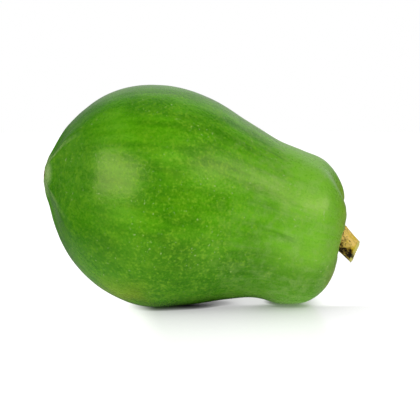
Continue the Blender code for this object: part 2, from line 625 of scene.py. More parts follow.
        # Painted sheen: a pale haze over the neck stands in for a broad reflection.
        neck_sheen = lines.step(*self.neck_sheen_lined) * self.neck_sheen_line_share
        neck_sheen = neck_sheen + mottles.step(*self.neck_sheened) * self.neck_sheen_share
        colour = tree.blend(neck_sheen * neck, colour, self.pale)
        flecks = tree.noise(place, self.fleck_size, seed=7.0, detail=0.0).step(*self.flecked)
        shown = flecks * clusters.step(*self.fleck_clusters) * self.fleck_share
        colour = tree.blend(shown, colour, self.pale)
        colour = self._blush(tree, self._marks(tree, colour, wave, place, travelled), place)
        return {
            "Base Color": colour,
            "Roughness": self.rough + grain * self.rough_grain + clusters * self.rough_clusters,
            "Specular IOR Level": self.gloss,
            "Specular Tint": self.gloss_tint,
            "Normal": self.bump(tree, grain * 0.5 + mottles * 0.5, self.grain_depth),
        }

    def _greens(self, tree: Tree, place: Value, lengthwise: Value, travelled: Value, lift: Value) -> Value:
        """The green of the skin, fresher at the stalk, and deepened at the blossom end and low on the sides
        as painted shade.

        Args:
            tree: The material's tree.
            place: A point of the skin.
            lengthwise: The same point, drawn out along the fruit.
            travelled: The distance from the tip along the skin.
            lift: The sine of the turn round the axis.

        Returns:
            The colour.
        """
        patches = tree.noise(place, self.patch_size, seed=1.0)
        streaks = tree.noise(lengthwise, self.streak_size, seed=2.0)
        tone = patches * 0.5 + streaks * 0.5
        green = tone.step(*self.streak_green) * (1.0 - self.green_least) + self.green_least
        colour = tree.blend(green, self.deep, self.green)
        colour = tree.blend(tone.step(*self.streak_fresh) * self.streak_fresh_share, colour, self.fresh)
        # Painted shade: the green deepens towards the blossom end.
        colour = tree.blend((1 - travelled.step(*self.tip_shade_span)) * self.tip_shade_share, colour, self.deep)
        # Fresher green towards the stalk; the blue in it is partly a painted sheen.
        colour = tree.blend(travelled.step(*self.fresh_span) * self.fresh_share, colour, self.fresh)
        # Painted shade: the green deepens low on the sides of the fruit.
        return tree.blend(lift.band(*self.shaded_low_side) * self.shaded_low_side_share, colour, self.deep)

    def _marks(self, tree: Tree, colour: Value, wave: Value, place: Value, travelled: Value) -> Value:
        """The painted highlights along the crests near the tip and over the tip itself, and the yellower
        crests of the stem hollow.

        Args:
            tree: The material's tree.
            colour: The green so far.
            wave: 1 on each crest and -1 halfway between them.
            place: A point of the skin.
            travelled: The distance from the tip along the skin.

        Returns:
            The colour.
        """
        # Patchy noise that breaks up the painted highlights.
        worn = tree.noise(place, self.worn_size, seed=8.0).step(*self.worn)
        near_tip = travelled.step(*self.crest_rise) - travelled.step(*self.crest_fade)
        # Painted highlight: pale lines along the carpel crests near the tip.
        crests = wave.step(*self.crest) * near_tip * (self.crest_highlight_least + self.crest_highlight_patchy * worn)
        colour = tree.blend(crests, colour, self.pale)
        # Painted highlight: a pale strip over the tip.
        tip_highlight = (1 - travelled.step(*self.tip_highlight_span)) * (self.tip_highlight_least + self.tip_highlight_patchy * worn)
        colour = tree.blend(tip_highlight, colour, self.pale)
        crests = self.hollow_crest_share * wave.step(*self.hollow_crest)
        shown = travelled.step(*self.hollow_span) * (self.hollow_share + crests)
        return tree.blend(shown, colour, self.ripening)

    def _blush(self, tree: Tree, colour: Value, place: Value) -> Value:
        """The first yellow of ripening, on the low rim at the stalk and under the blossom end.

        Args:
            tree: The material's tree.
            colour: The colour so far.
            place: A point of the skin.

        Returns:
            The colour.
        """
        along, _, height = tree.split(place)
        rim = (1 - height.step(*self.low_rim_height)) * along.step(*self.low_rim_along) * self.low_rim_share
        under = (1 - height.step(*self.underside_height)) * along.step(*self.underside_along)
        patches = tree.noise(place, self.blush_size, seed=9.0, detail=1.0).step(*self.blushed)
        shown = (rim + under * self.underside_share) * patches * self.blush_share
        return tree.blend(shown, colour, self.ripening)


@dataclass(frozen=True)
class DryBark(Finish):
    """The drying green-yellow rind of the stalk, tan on top, darker olive underneath as painted shade, and
    blotched with brown.

    Each pair holds the two values between which a pattern fades in. Those of the base, the middle and
    the peel, where the rind has come off at the cut, are distances along the stalk in metres.
    """

    label: str = "dry_bark"
    straw: Colour = srgb(220, 190, 34)
    rose: Colour = srgb(244, 208, 114)
    moss: Colour = srgb(148, 132, 6)
    brown: Colour = srgb(104, 72, 2)
    black: Colour = srgb(26, 12, 4)
    peeled: Colour = srgb(212, 204, 118)
    girth: float = 0.007
    stretch: float = 0.18
    fibre_size: float = 0.0011
    fibrous: Ends = (0.44, 0.64)
    fibre_share: float = 0.40
    patch_size: float = 0.006
    patched: Ends = (0.42, 0.62)
    middle: Band = (0.012, 0.022, 0.005)
    middle_more: float = 0.12
    blot_size: float = 0.0042
    stained: Ends = (0.58, 0.76)
    stained_more_under: float = 0.24
    stain_share: float = 0.75
    blackened: Ends = (0.66, 0.73)
    blackened_more_under: float = 0.20
    speck_size: float = 0.0011
    specked: Ends = (0.62, 0.72)
    specked_more: float = 0.12
    speck_share: float = 0.8
    # Where the painted shade on the underside of the stalk fades out.
    underside: Ends = (-0.75, 0.35)
    underside_share: float = 0.62
    base: Ends = (0.008, 0.018)
    peel: Ends = (0.0252, 0.0262)
    peel_kept: Ends = (0.45, 0.62)
    gloss: float = 0.2
    rough: float = 0.55
    rough_fibres: float = 0.2
    relief: float = 0.00025

    def paint(self, tree: Tree) -> dict[str, Term]:
        """Adds the bark's nodes.

        Args:
            tree: The material's tree.

        Returns:
            The value or the link of each socket of the shader, by name.
        """
        place = tree.place()
        around, lift, travelled = tree.split(tree.attribute(SKIN_ATTRIBUTE))
        lengthwise = tree.vector(around * self.girth, lift * self.girth, travelled * self.stretch)
        fibres = tree.noise(lengthwise, self.fibre_size, seed=5.0)
        patches = tree.noise(place, self.patch_size, seed=6.0)
        blots = tree.noise(place, self.blot_size, seed=7.0, detail=3.0)
        specks = tree.noise(place, self.speck_size, seed=12.0, detail=1.0)
        tan = (patches + travelled.band(*self.middle) * self.middle_more).step(*self.patched)
        colour = tree.blend(tan, self.straw, self.rose)
        colour = tree.blend(fibres.step(*self.fibrous) * self.fibre_share, colour, self.moss)
        # Painted shade: the underside of the stalk turns darker olive. The same mask gathers more stains and
        # specks underneath.
        under = 1 - lift.step(*self.underside)
        colour = tree.blend(under * self.underside_share, colour, self.moss)
        stains = (blots + under * self.stained_more_under).step(*self.stained) * self.stain_share
        colour = tree.blend(stains, colour, self.brown)
        rotten = blots * 0.7 + specks * 0.3 + under * self.blackened_more_under
        colour = tree.blend(rotten.step(*self.blackened), colour, self.black)
        base = 1 - travelled.step(*self.base)
        dots = (specks + (under + base) * self.specked_more).step(*self.specked) * self.speck_share
        colour = tree.blend(dots, colour, self.black)
        peel = travelled.step(*self.peel) * (1 - under * blots.step(*self.peel_kept))
        colour = tree.blend(peel, colour, self.peeled)
        return {
            "Base Color": colour,
            "Roughness": self.rough + fibres * self.rough_fibres,
            "Specular IOR Level": self.gloss,
            "Normal": self.bump(tree, fibres * 0.7 + blots * 0.3, self.relief),
        }


@dataclass(frozen=True)
class CutFibre(Finish):
    """The cut end of the stalk: a pale fibrous ring round a spongy, browned pith."""

    label: str = "cut_fibre"
    wood: Colour = srgb(208, 196, 122)
    dried: Colour = srgb(174, 136, 66)
    pith: Colour = srgb(150, 116, 66)
    grain_size: float = 0.0006
    grained: Ends = (0.52, 0.70)
    patch_size: float = 0.003
    patched: Ends = (0.40, 0.65)
    patch_share: float = 0.6
    grain_share: float = 0.5
    pith_edge: Ends = (0.45, 0.70)
    gloss: float = 0.3
    rough: float = 0.75
    relief: float = 0.0002

    def paint(self, tree: Tree) -> dict[str, Term]:
        """Adds the cut end's nodes.

        Args:
            tree: The material's tree.

        Returns:
            The value or the link of each socket of the shader, by name.
        """
        place = tree.place()
        share = tree.attribute(CUT_ATTRIBUTE, "Fac")
        grain = tree.noise(place, self.grain_size, seed=8.0, detail=3.0)
        patches = tree.noise(place, self.patch_size, seed=9.0)
        colour = tree.blend(patches.step(*self.patched) * self.patch_share, self.wood, self.dried)
        colour = tree.blend(share.step(*self.pith_edge), colour, self.pith)
        colour = tree.blend(grain.step(*self.grained) * self.grain_share, colour, self.dried)
        return {
            "Base Color": colour,
            "Roughness": self.rough,
            "Specular IOR Level": self.gloss,
            "Normal": self.bump(tree, grain, self.relief),
        }


@dataclass(frozen=True)
class CorkScar(Finish):
    """The dry cork of the scar that the flower leaves, and of the pores."""

    label: str = "cork_scar"
    cork: Colour = srgb(150, 122, 70)
    dark: Colour = srgb(66, 48, 22)
    green: Colour = srgb(104, 132, 44)
    grain_size: float = 0.0007
    grained: Ends = (0.55, 0.72)
    patch_size: float = 0.0026
    patched: Ends = (0.36, 0.62)
    grain_share: float = 0.6
    gloss: float = 0.25
    rough: float = 0.8
    relief: float = 0.0002

    def paint(self, tree: Tree) -> dict[str, Term]:
        """Adds the scar's nodes.

        Args:
            tree: The material's tree.

        Returns:
            The value or the link of each socket of the shader, by name.
        """
        place = tree.place()
        grain = tree.noise(place, self.grain_size, seed=10.0, detail=3.0)
        patches = tree.noise(place, self.patch_size, seed=11.0)
        colour = tree.blend(patches.step(*self.patched), self.cork, self.dark)
        colour = tree.blend(grain.step(*self.grained) * self.grain_share, colour, self.green)
        return {
            "Base Color": colour,
            "Roughness": self.rough,
            "Specular IOR Level": self.gloss,
            "Normal": self.bump(tree, grain, self.relief),
        }


@dataclass(frozen=True)
class WhiteFloor(Finish):
    """A glossy white studio floor that glows so evenly that it shows as white away from what stands on it.

    Its own glow keeps it white, and a painted shadow darkens it where the fruit is near. Left of the fruit
    and behind its stem end the floor is burnt out, and a painted backlight evens the gap under the neck.
    """

    label: str = "white_floor"
    white: float = 0.30
    glow: float = 0.86
    spill: float = 0.08
    bounce: float = 0.95
    bounce_from: Ends = (0.01, 0.08)
    bounce_to: Ends = (0.12, 0.24)
    mirrored: float = 0.16
    mirrored_far: float = 0.10
    far_span: Ends = (0.08, 0.30)
    contact_reach: float = 0.0040
    contact_power: float = 1.3
    light_contact: float = 0.55
    light_contact_span: Ends = (0.030, 0.056)
    deep_contact: float = 0.90
    deep_contact_span: Band = (-0.016, 0.014, 0.010)
    wide_reach: float = 0.20
    wide_share: float = 0.55
    wide_share_right: float = 0.85
    wide_span: Ends = (0.0, 0.07)
    backlit: float = 0.63
    gap_across: Band = (0.021, 0.064, 0.008)
    gap_front: Ends = (-0.016, -0.004)
    gap_back: Ends = (0.030, 0.085)
    gap_open: Ends = (0.05, 0.40)
    beyond_across: Ends = (0.062, 0.085)
    beyond_depth: Ends = (-0.024, -0.010)
    burnt_out: Ends = (-0.053, -0.031)
    samples: int = 16
    wear_size: float = 0.2
    gloss: float = 0.09
    rough: float = 0.16
    rough_wear: float = 0.06

    def paint(self, tree: Tree) -> dict[str, Term]:
        """Adds the floor's nodes.

        Args:
            tree: The material's tree.

        Returns:
            The value or the link of each socket of the shader, by name.
        """
        place = tree.place()
        rays = tree.node("ShaderNodeLightPath")
        seen = tree.output(rays, "Is Camera Ray")
        mirror = tree.output(rays, "Is Glossy Ray")
        _, depth, _ = tree.split(place)
        dimmed = 1 - (1 - self.mirrored) * mirror
        away = tree.value("ShaderNodeVectorMath", {"operation": "LENGTH"}, {0: place}, "Value")
        bounce = self.bounce * away.step(*self.bounce_from) * (1 - away.step(*self.bounce_to)) * dimmed
        bounce = bounce + mirror * depth.step(*self.far_span) * self.mirrored_far
        glow = bounce + seen * (self._own_light(tree, place) - bounce)
        white = self.white * dimmed
        wear = tree.noise(place, self.wear_size, seed=12.0)
        return {
            "Base Color": tree.vector(white, white, white),
            "Roughness": self.rough + wear * self.rough_wear,
            "Specular IOR Level": self.gloss,
            "Emission Color": tree.vector(glow, glow, glow),
            "Emission Strength": 1.0,
        }

    def _own_light(self, tree: Tree, place: Value) -> Value:
        """How much light the floor gives of itself, less under a painted shadow where the fruit is near.

        Args:
            tree: The material's tree.
            place: A point of the floor.

        Returns:
            The light.
        """
        across, depth, _ = tree.split(place)
        near, wide = (
            tree.value("ShaderNodeAmbientOcclusion", {"samples": self.samples}, {"Distance": reach}, "AO")
            for reach in (self.contact_reach, self.wide_reach)
        )
        gap = across.band(*self.gap_across) * depth.step(*self.gap_front)
        gap = gap * (1 - depth.step(*self.gap_back))
        beyond = across.step(*self.beyond_across) * depth.step(*self.beyond_depth)
        more = self.wide_share_right - self.wide_share
        share = self.wide_share + more * across.step(*self.wide_span)
        # Painted shadow: the glow fades where the fruit is near, lighter at the shoulder and deeper under
        # the belly.
        contact = near + (1 - near) * across.step(*self.light_contact_span) * self.light_contact
        painted_contact_shade = across.band(*self.deep_contact_span) * (1 - near) * self.deep_contact
        lit = contact ** self.contact_power * (1 - painted_contact_shade) * (1 - share * (1 - wide))
        # Painted light: the gap under the neck is lifted as if lit from behind, and the floor beyond the
        # stem end is kept white.
        lit = lit + gap * near.step(*self.gap_open) * (self.backlit - lit)
        lit = lit + beyond * (1 - lit)
        shade = across.step(*self.burnt_out)
        return self.glow * (1 - shade * (1 - lit)) + (1 - shade) * self.spill


def smooth_path(points: Sequence[tuple[float, float]], steps: int) -> np.ndarray:
    """A cubic path through points that start on the axis.

    Args:
        points: The stations. The mirror image of the second one across the axis sets the first slope.
        steps: How many steps each span has.

    Returns:
        The points of the path, one in each row.
    """
    stations = np.array([(points[1][0], -points[1][1]), *points])
    spans = np.linalg.norm(np.diff(stations, axis=0), axis=1)
    knots = np.concatenate([[0.0], np.cumsum(np.sqrt(spans))])
    slopes = np.gradient(stations, knots, axis=0)
    path = []
    for index in range(1, len(stations) - 1):
        width = knots[index + 1] - knots[index]
        for t in np.arange(steps) / steps:
            rise = 3 * t**2 - 2 * t**3
            path.append(
                stations[index] * (1 - rise)
                + stations[index + 1] * rise
                + slopes[index] * width * (t**3 - 2 * t**2 + t)
                + slopes[index + 1] * width * (t**3 - t**2)
            )
    path.append(stations[-1])
    return np.array(path)


def line_mesh(name: str, points: np.ndarray) -> bpy.types.Mesh:
    """A mesh of edges alone, from one point to the next.

    Args:
        name: The mesh's name.
        points: Points of two or three numbers, one in each row.

    Returns:
        The mesh.
    """
    places = np.zeros((len(points), 3))
    places[:, : points.shape[1]] = points
    mesh = bpy.data.meshes.new(name)
    edges = [(index, index + 1) for index in range(len(points) - 1)]
    mesh.from_pydata(places.tolist(), edges, [])
    return mesh


@dataclass(frozen=True)
class Posture:
    """How the fruit's sections lean, how its axis strays and how it lies."""

    section_lean: float = 0.072
    tip_lean: float = 0.052
    tip_lean_start: float = 0.010
    tip_lean_end: float = 0.060
    tip_drop: float = 0.0003
    tip_drop_start: float = 0.004
    tip_drop_end: float = 0.030
    back_rise: float = 0.0018
    back_start: float = 0.100
    back_crown: float = 0.140
    back_end: float = 0.215
    neck_sag: float = 0.0026
    neck_sag_start: float = 0.176
    neck_sag_end: float = 0.209
    hollow_rise: float = 0.0038
    hollow_rise_start: float = 0.232
    hollow_rise_end: float = 0.262
    tilt: float = TILT
    pressed_depth: float = 0.0010
    pressed_edge: float = 0.0003


@dataclass(frozen=True)
class Carpels:
    """The five carpels that show as ridges, as wide lobes round the hollow and as the tip's nub."""

    carpels: int = 5
    first_ridge: float = math.radians(47.0)
    ridge_twist: float = math.radians(-18.0)
    ridge_drift: float = math.radians(5.0)
    body_ridge: float = 0.0005
    crest_sharpness: float = 3.0
    valley_sharpness: float = 2.0
    tip_ridge: float = 0.0014
    tip_ridge_rise: float = 0.005
    tip_ridge_full: float = 0.016
    tip_ridge_fade: float = 0.032
    tip_ridge_gone: float = 0.090
    lobe_valley: float = 0.0035
    lobe_start: float = 0.196
    lobe_full: float = 0.240
    shallow_valley_turn: float = math.radians(-8.0)
    shallow_valley_share: float = 0.90
    shallow_valley_sharpness: float = 6.0
    top_lobe_reach: float = 0.0016
    top_lobe_turn: float = math.radians(110.0)
    seat_blend: float = 0.0090


@dataclass(frozen=True)
class SkinRelief:
    """The small unevenness of grown skin, over the rule of the solid."""

    swell: float = 0.00045
    swell_size: float = 0.045
    dimple: float = 0.00010
    dimple_size: float = 0.0085
    rib: float = 0.00012
    rib_size: float = 0.0048
    pucker: float = 0.00035
    puckers: int = 23
    pucker_start: float = 0.238
    pucker_full: float = 0.255
    pucker_stray: float = 5.0
    girth: float = 0.05
    stretch: float = 0.12
    scar_pit: float = 0.0010
    scar_radius: float = 0.0048
    scar_floor: float = 0.55
    seed: float = 3.0


@dataclass(frozen=True)
class Grid:
    """How finely a lofted surface is made."""

    rows: int = 360
    sides: int = 256


@dataclass(frozen=True)
class Span:
    """The box that a form is fitted to."""

    low: Vector = field(default_factory=Vector)
    high: Vector = field(default_factory=Vector)


def settled(piece: bpy.types.Object, node: str | None = None) -> bpy.types.Object:
    """Hands a finished piece to the frame.

    Args:
        piece: The piece.
        node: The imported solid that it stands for, or None where it adds to one.

    Returns:
        The same piece.
    """
    if node is not None:
        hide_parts(node)
    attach(piece, BODY)
    return piece


def kept(mesh: bpy.types.Mesh, name: str, width: int) -> np.ndarray:
    """What a mesh keeps on its points under a name.

    Args:
        mesh: The mesh.
        name: The attribute's name.
        width: 3 for a vector and 1 for a number.

    Returns:
        One row for each point.
    """
    numbers = np.zeros(len(mesh.vertices) * width, np.float32)
    mesh.attributes[name].data.foreach_get("vector" if width == 3 else "value", numbers)
    return numbers.reshape(-1, width)


def fitted(form: Form, geometry: Value) -> Value:
    """A geometry stretched to the box of the solid that it stands for.

    Args:
        form: The tree, with the inputs low and high.
        geometry: What the tree has made.

    Returns:
        The same geometry in that box.
    """
    tree = form.tree
    box = tree.node("GeometryNodeBoundBox", inputs={"Geometry": geometry})
    place = tree.value("GeometryNodeInputPosition")
    low = tree.output(box, "Min")
    reach = tree.vectors("SUBTRACT", tree.output(box, "Max"), low)
    share = tree.vectors("DIVIDE", tree.vectors("SUBTRACT", place, low), reach)
    room = tree.vectors("SUBTRACT", form["high"], form["low"])
    place = tree.vectors("ADD", tree.vectors("MULTIPLY", share, room), form["low"])
    return tree.moved(geometry, place)


def unrolled(form: Form) -> tuple[Value, Value, Value]:
    """A flat grid that is to be rolled up into a surface.

    Args:
        form: The tree, with the inputs rows and sides.

    Returns:
        The grid, the share of its length at each point, and the turn round the axis there.
    """
    tree = form.tree
    counts = {"Size X": 1.0, "Size Y": 1.0, "Vertices X": form["rows"], "Vertices Y": form["sides"]}
    grid = tree.value("GeometryNodeMeshGrid", inputs=counts)
    x, y, _ = tree.split(tree.value("GeometryNodeInputPosition"))
    return grid, x + 0.5, (y + 0.5) * math.tau


def rolled(form: Form, grid: Value, place: Value) -> Value:
    """A grid rolled up into a closed surface.

    Args:
        form: The tree.
        grid: The grid.
        place: Where each of its points goes.

    Returns:
        The surface, with the points joined that meet at its seam and its poles.
    """
    inputs = {"Geometry": form.tree.moved(grid, place), "Distance": SEAM}
    return form.tree.value("GeometryNodeMergeByDistance", inputs=inputs)


def sampled(tree: Tree, curve: Value, travelled: Value) -> tuple[tuple[Value, ...], tuple[Value, ...]]:
    """A point of a curve, and the direction that the curve has there.

    Args:
        tree: The tree.
        curve: The curve.
        travelled: The distance along it.

    Returns:
        The three numbers of the point and those of the direction.
    """
    inputs = {"Curves": curve, "Length": travelled}
    sample = tree.node("GeometryNodeSampleCurve", {"mode": "LENGTH"}, inputs)
    return tree.split(tree.output(sample, "Position")), tree.split(tree.output(sample, "Tangent"))


def tipped(form: Form, x: Value, y: Value, z: Value) -> Value:
    """A point of the level fruit, tipped as the fruit lies.

    Args:
        form: The tree, with the input tilt.
        x: How far along the axis it is.
        y: How far behind the axis it is.
        z: How far over the axis it is.

    Returns:
        The point.
    """
    cosine, sine = form["tilt"].cosine(), form["tilt"].sine()
    return form.tree.vector(x * cosine + z * sine, y, z * cosine - x * sine)


def knobs(
    form: Form,
    points: Value,
    radius: Value,
    rounds: int,
    turned: Term = (0.0, 0.0, 0.0),
    flat: Term = 1.0,
) -> Value:
    """Small round knobs of uneven size, one on each point.

    Args:
        form: The tree, with the inputs least, most and pattern.
        points: Where they go.
        radius: Their radius before it is varied.
        rounds: How often their sphere is refined.
        turned: The rotation of each, where they are flat.
        flat: Their height as a share of their width.

    Returns:
        The knobs.
    """
    tree = form.tree
    knob = tree.value("GeometryNodeMeshIcoSphere", inputs={"Radius": radius, "Subdivisions": rounds})
    spread = {"Min": form["least"], "Max": form["most"], "Seed": form["pattern"]}
    scale = tree.value("FunctionNodeRandomValue", {"data_type": "FLOAT"}, spread)
    inputs = {"Points": points, "Instance": knob, "Rotation": turned}
    inputs["Scale"] = tree.vector(scale, scale, scale * flat)
    return tree.value("GeometryNodeInstanceOnPoints", inputs=inputs)


@dataclass
class FruitSkin:
    """The whole skin of the fruit, from the blossom scar to the seat of the stalk."""

    meridian: tuple[tuple[float, float], ...] = (
        (0.0000, 0.0000),
        (0.0004, 0.0040),
        (0.0021, 0.0088),
        (0.0062, 0.0170),
        (0.0140, 0.0347),
        (0.0270, 0.0522),
        (0.0470, 0.0653),
        (0.0740, 0.0711),
        (0.1020, 0.0663),
        (0.1260, 0.0578),
        (0.1470, 0.0516),
        (0.1640, 0.0502),
        (0.1790, 0.0467),
        (0.1898, 0.0356),
        (0.1933, 0.0238),
        (0.1902, 0.0140),
        (0.1862, 0.0083),
    )
    steps: int = 16
    seat_depth: float = 0.0030
    grid: Grid = Grid()
    posture: Posture = Posture()
    carpels: Carpels = Carpels()
    relief: SkinRelief = SkinRelief()
    finish: GreenSkin = GreenSkin()

    def build(self) -> bpy.types.Object:
        """Lofts the skin, fits it to the solid's box and dresses it.

        Returns:
            The piece.
        """
        path = smooth_path(self.meridian, self.steps)
        seat = float(np.linalg.norm(np.diff(path, axis=0), axis=1).sum())
        end_along, end_out = self.meridian[-1]
        floor = [(end_along - self.seat_depth, end_out), (end_along - self.seat_depth, 0.0)]
        low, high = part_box("fruit")
        low.z = -self.posture.pressed_depth
        form = Form("fruit_form", self.grid, self.posture, self.carpels, self.relief, Span(low, high))
        tree = form.tree
        profile = tree.value("GeometryNodeMeshToCurve", inputs={"Mesh": form["base"]})
        sheet = self._sheet(form, tree.value("GeometryNodeCurveLength", inputs={"Curve": profile}))
        travelled, turn, _ = tree.split(tree.recalled(PLAN_ATTRIBUTE))
        ring = self._ring(form, profile, travelled, turn, seat)
        sheet = tree.stored(sheet, RIDGE_ATTRIBUTE, self._wave(form, travelled, turn), "FLOAT")
        resting = self._pressed(form, fitted(form, rolled(form, sheet, ring)))
        base = line_mesh("meridian", np.array([*path, *floor]))
        piece = form.make("fruit_skin", resting, base, self.finish.material())
        return settled(piece, "fruit")

    def _sheet(self, form: Form, whole: Value) -> Value:
        """A flat grid that remembers its place on the skin.

        Args:
            form: The tree.
            whole: The length of the meridian.

        Returns:
            The grid, with the distance from the tip and the turn round the axis kept on its points.
        """
        tree = form.tree
        grid, share, turn = unrolled(form)
        travelled = share * whole
        grid = tree.stored(grid, PLAN_ATTRIBUTE, tree.vector(travelled, turn, 0.0))
        return tree.stored(grid, SKIN_ATTRIBUTE, tree.vector(turn.cosine(), turn.sine(), travelled))

    def _ring(self, form: Form, profile: Value, travelled: Value, turn: Value, seat: float) -> Value:
        """Where each point of the grid goes.

        Args:
            form: The tree.
            profile: The meridian as a curve.
            travelled: The distance from the tip along the skin.
            turn: The angle round the axis from the near side upwards.
            seat: The distance at which the seat of the stalk begins.

        Returns:
            The place, with the axis tipped as the fruit lies.
        """
        tree = form.tree
        (along, out, _), (run, climb, _) = sampled(tree, profile, travelled)
        sine, cosine = turn.sine(), turn.cosine()
        shaping = 1 - travelled.step(seat - form["seat_blend"], seat)
        body = tree.vector(along, out * cosine, out * sine)
        ridges = self._carpel_relief(form, travelled, turn)
        height = shaping * (ridges + self._grown_relief(form, body, travelled, turn, sine, cosine))
        lobes = travelled.step(form["lobe_start"], form["lobe_full"])
        reach = shaping * lobes * form["top_lobe_reach"] * (turn - form["top_lobe_turn"]).cosine()
        radius = out + height * run
        near_tip = 1 - travelled.step(form["tip_lean_start"], form["tip_lean_end"])
        lean = form["section_lean"] + form["tip_lean"] * near_tip
        x = along - height * climb + reach - shaping * lean * radius * sine
        z = self._axis_rise(form, travelled) + radius * sine
        return tipped(form, x, -radius * cosine, z)

    def _wave(self, form: Form, travelled: Value, turn: Value) -> Value:
        """1 on each of the ridges and -1 halfway between them, as in the solid.

        Args:
            form: The tree.
            travelled: The distance from the tip along the skin.
            turn: The angle round the axis.

        Returns:
            The wave.
        """
        twist = form["ridge_twist"] * travelled / form["lobe_full"]
        angle = turn - form["first_ridge"] - twist - form["ridge_drift"] * turn.sine()
        return (form["carpels"] * angle).cosine()

    def _carpel_relief(self, form: Form, travelled: Value, turn: Value) -> Value:
        """Height of the carpels over the mean outline, as in the solid.

        Args:
            form: The tree.
            travelled: The distance from the tip along the skin.
            turn: The angle round the axis.

        Returns:
            The height.
        """
        wave = self._wave(form, travelled, turn)
        crest = (0.5 + 0.5 * wave).between(0.0, 1.0) ** form["crest_sharpness"]
        near = (0.5 + 0.5 * (turn - form["shallow_valley_turn"]).cosine()).at_least(0.0)
        shallow = form["shallow_valley_share"] * near ** form["shallow_valley_sharpness"]
        valley = (0.5 - 0.5 * wave).between(0.0, 1.0) ** form["valley_sharpness"] * (1 - shallow)
        rising = travelled.step(form["tip_ridge_rise"], form["tip_ridge_full"])
        near_tip = rising * (1 - travelled.step(form["tip_ridge_fade"], form["tip_ridge_gone"]))
        body = travelled.step(form["tip_ridge_rise"], form["tip_ridge_fade"])
        lobes = travelled.step(form["lobe_start"], form["lobe_full"])
        ridges = form["tip_ridge"] * near_tip * crest + form["body_ridge"] * body * wave
        return ridges - form["lobe_valley"] * lobes * valley

    def _grown_relief(
        self, form: Form, body: Value, travelled: Value, turn: Value, sine: Value, cosine: Value
    ) -> Value:
        """Height of the small unevenness of the skin.

        Args:
            form: The tree.
            body: A point of the plain body, to read noise at.
            travelled: The distance from the tip along the skin.
            turn: The angle round the axis.
            sine: Its sine.
            cosine: Its cosine.

        Returns:
            The height.
        """
        tree, relief = form.tree, self.relief
        seed = form["seed"]
        swell = tree.noise(body, relief.swell_size, seed, detail=1.0) - 0.5
        dimple = tree.noise(body, relief.dimple_size, seed + 1.0, detail=1.0) - 0.5
        lengthwise = tree.vector(cosine * relief.girth, sine * relief.girth, travelled * relief.stretch)
        rib = tree.noise(lengthwise, relief.rib_size, seed + 2.0, detail=1.0) - 0.5
        hollow = travelled.step(form["pucker_start"], form["pucker_full"])
        pucker = (form["puckers"] * turn + form["pucker_stray"] * swell).cosine() * hollow
        pit = 1 - travelled.step(form["scar_radius"] * form["scar_floor"], form["scar_radius"])
        grown = 2.0 * (form["swell"] * swell + form["dimple"] * dimple + form["rib"] * rib)
        return grown + form["pucker"] * pucker - form["scar_pit"] * pit

    def _axis_rise(self, form: Form, travelled: Value) -> Value:
        """Height of the axis over a straight line, as in the solid.

        Args:
            form: The tree.
            travelled: The distance from the tip along the skin.

        Returns:
            The height.
        """
        rising = travelled.step(form["back_start"], form["back_crown"])
        back = rising * (1 - travelled.step(form["back_crown"], form["back_end"]))
        drop = 1 - travelled.step(form["tip_drop_start"], form["tip_drop_end"])
        sag = travelled.step(form["neck_sag_start"], form["neck_sag_end"])
        hollow = travelled.step(form["hollow_rise_start"], form["hollow_rise_end"])
        rise = form["back_rise"] * back - form["tip_drop"] * drop
        return rise - form["neck_sag"] * sag + form["hollow_rise"] * hollow

    def _pressed(self, form: Form, geometry: Value) -> Value:
        """The fruit with the skin that would reach below the floor pressed flat.

        Args:
            form: The tree.
            geometry: The closed skin.

        Returns:
            The skin at rest on the floor.
        """
        tree = form.tree
        x, y, z = tree.split(tree.value("GeometryNodeInputPosition"))
        edge = form["pressed_edge"]
        eased = z.between(-edge, edge) + edge
        height = eased * eased / (4.0 * edge) + (z - edge).at_least(0.0)
        return tree.moved(geometry, tree.vector(x, y, height))


@dataclass(frozen=True)
class Column:
    """Sizes of the stalk: a straight foot, a bend and a straight end with a slanted cut."""

    foot: float = 0.0040
    bend: float = math.radians(33.0)
    bend_radius: float = 0.0110
    end: float = 0.0170
    foot_radius: float = 0.0080
    end_radius: float = 0.0070
    taper_start: float = 0.006
    taper_end: float = 0.026
    ribs: int = 7
    rib_depth: float = 0.00035
    cut_slant: float = math.tan(math.radians(22.0))
    cut_turn: float = math.tan(math.radians(12.0))
    tilt: float = TILT
    flare: float = 0.0005
    flare_from: float = 0.0026
    flare_to: float = 0.0044
    flare_edge: float = 0.0012
    fibre: float = 0.00016
    fibre_size: float = 0.0012
    fibre_girth: float = 0.007
    fibre_stretch: float = 0.15
    wrinkle: float = 0.00018
    wrinkle_turn: float = 5200.0
    wrinkle_stray: float = 6.0
    wrinkle_from: float = 0.005
    wrinkle_to: float = 0.010
    wrinkle_edge: float = 0.002
    pith_depth: float = 0.0012
    pith_floor: float = 0.30
    pith_rim: float = 0.52
    ring_rise: float = 0.0002
    ring_inner: float = 0.55
    ring_outer: float = 0.86
    ring_edge: float = 0.05
    cut_grain: float = 0.0004
    cut_grain_edge: float = 0.1
    cut_grain_size: float = 0.0009
    foot_share: float = 0.02
    side_share: float = 0.80
    seed: float = 11.0


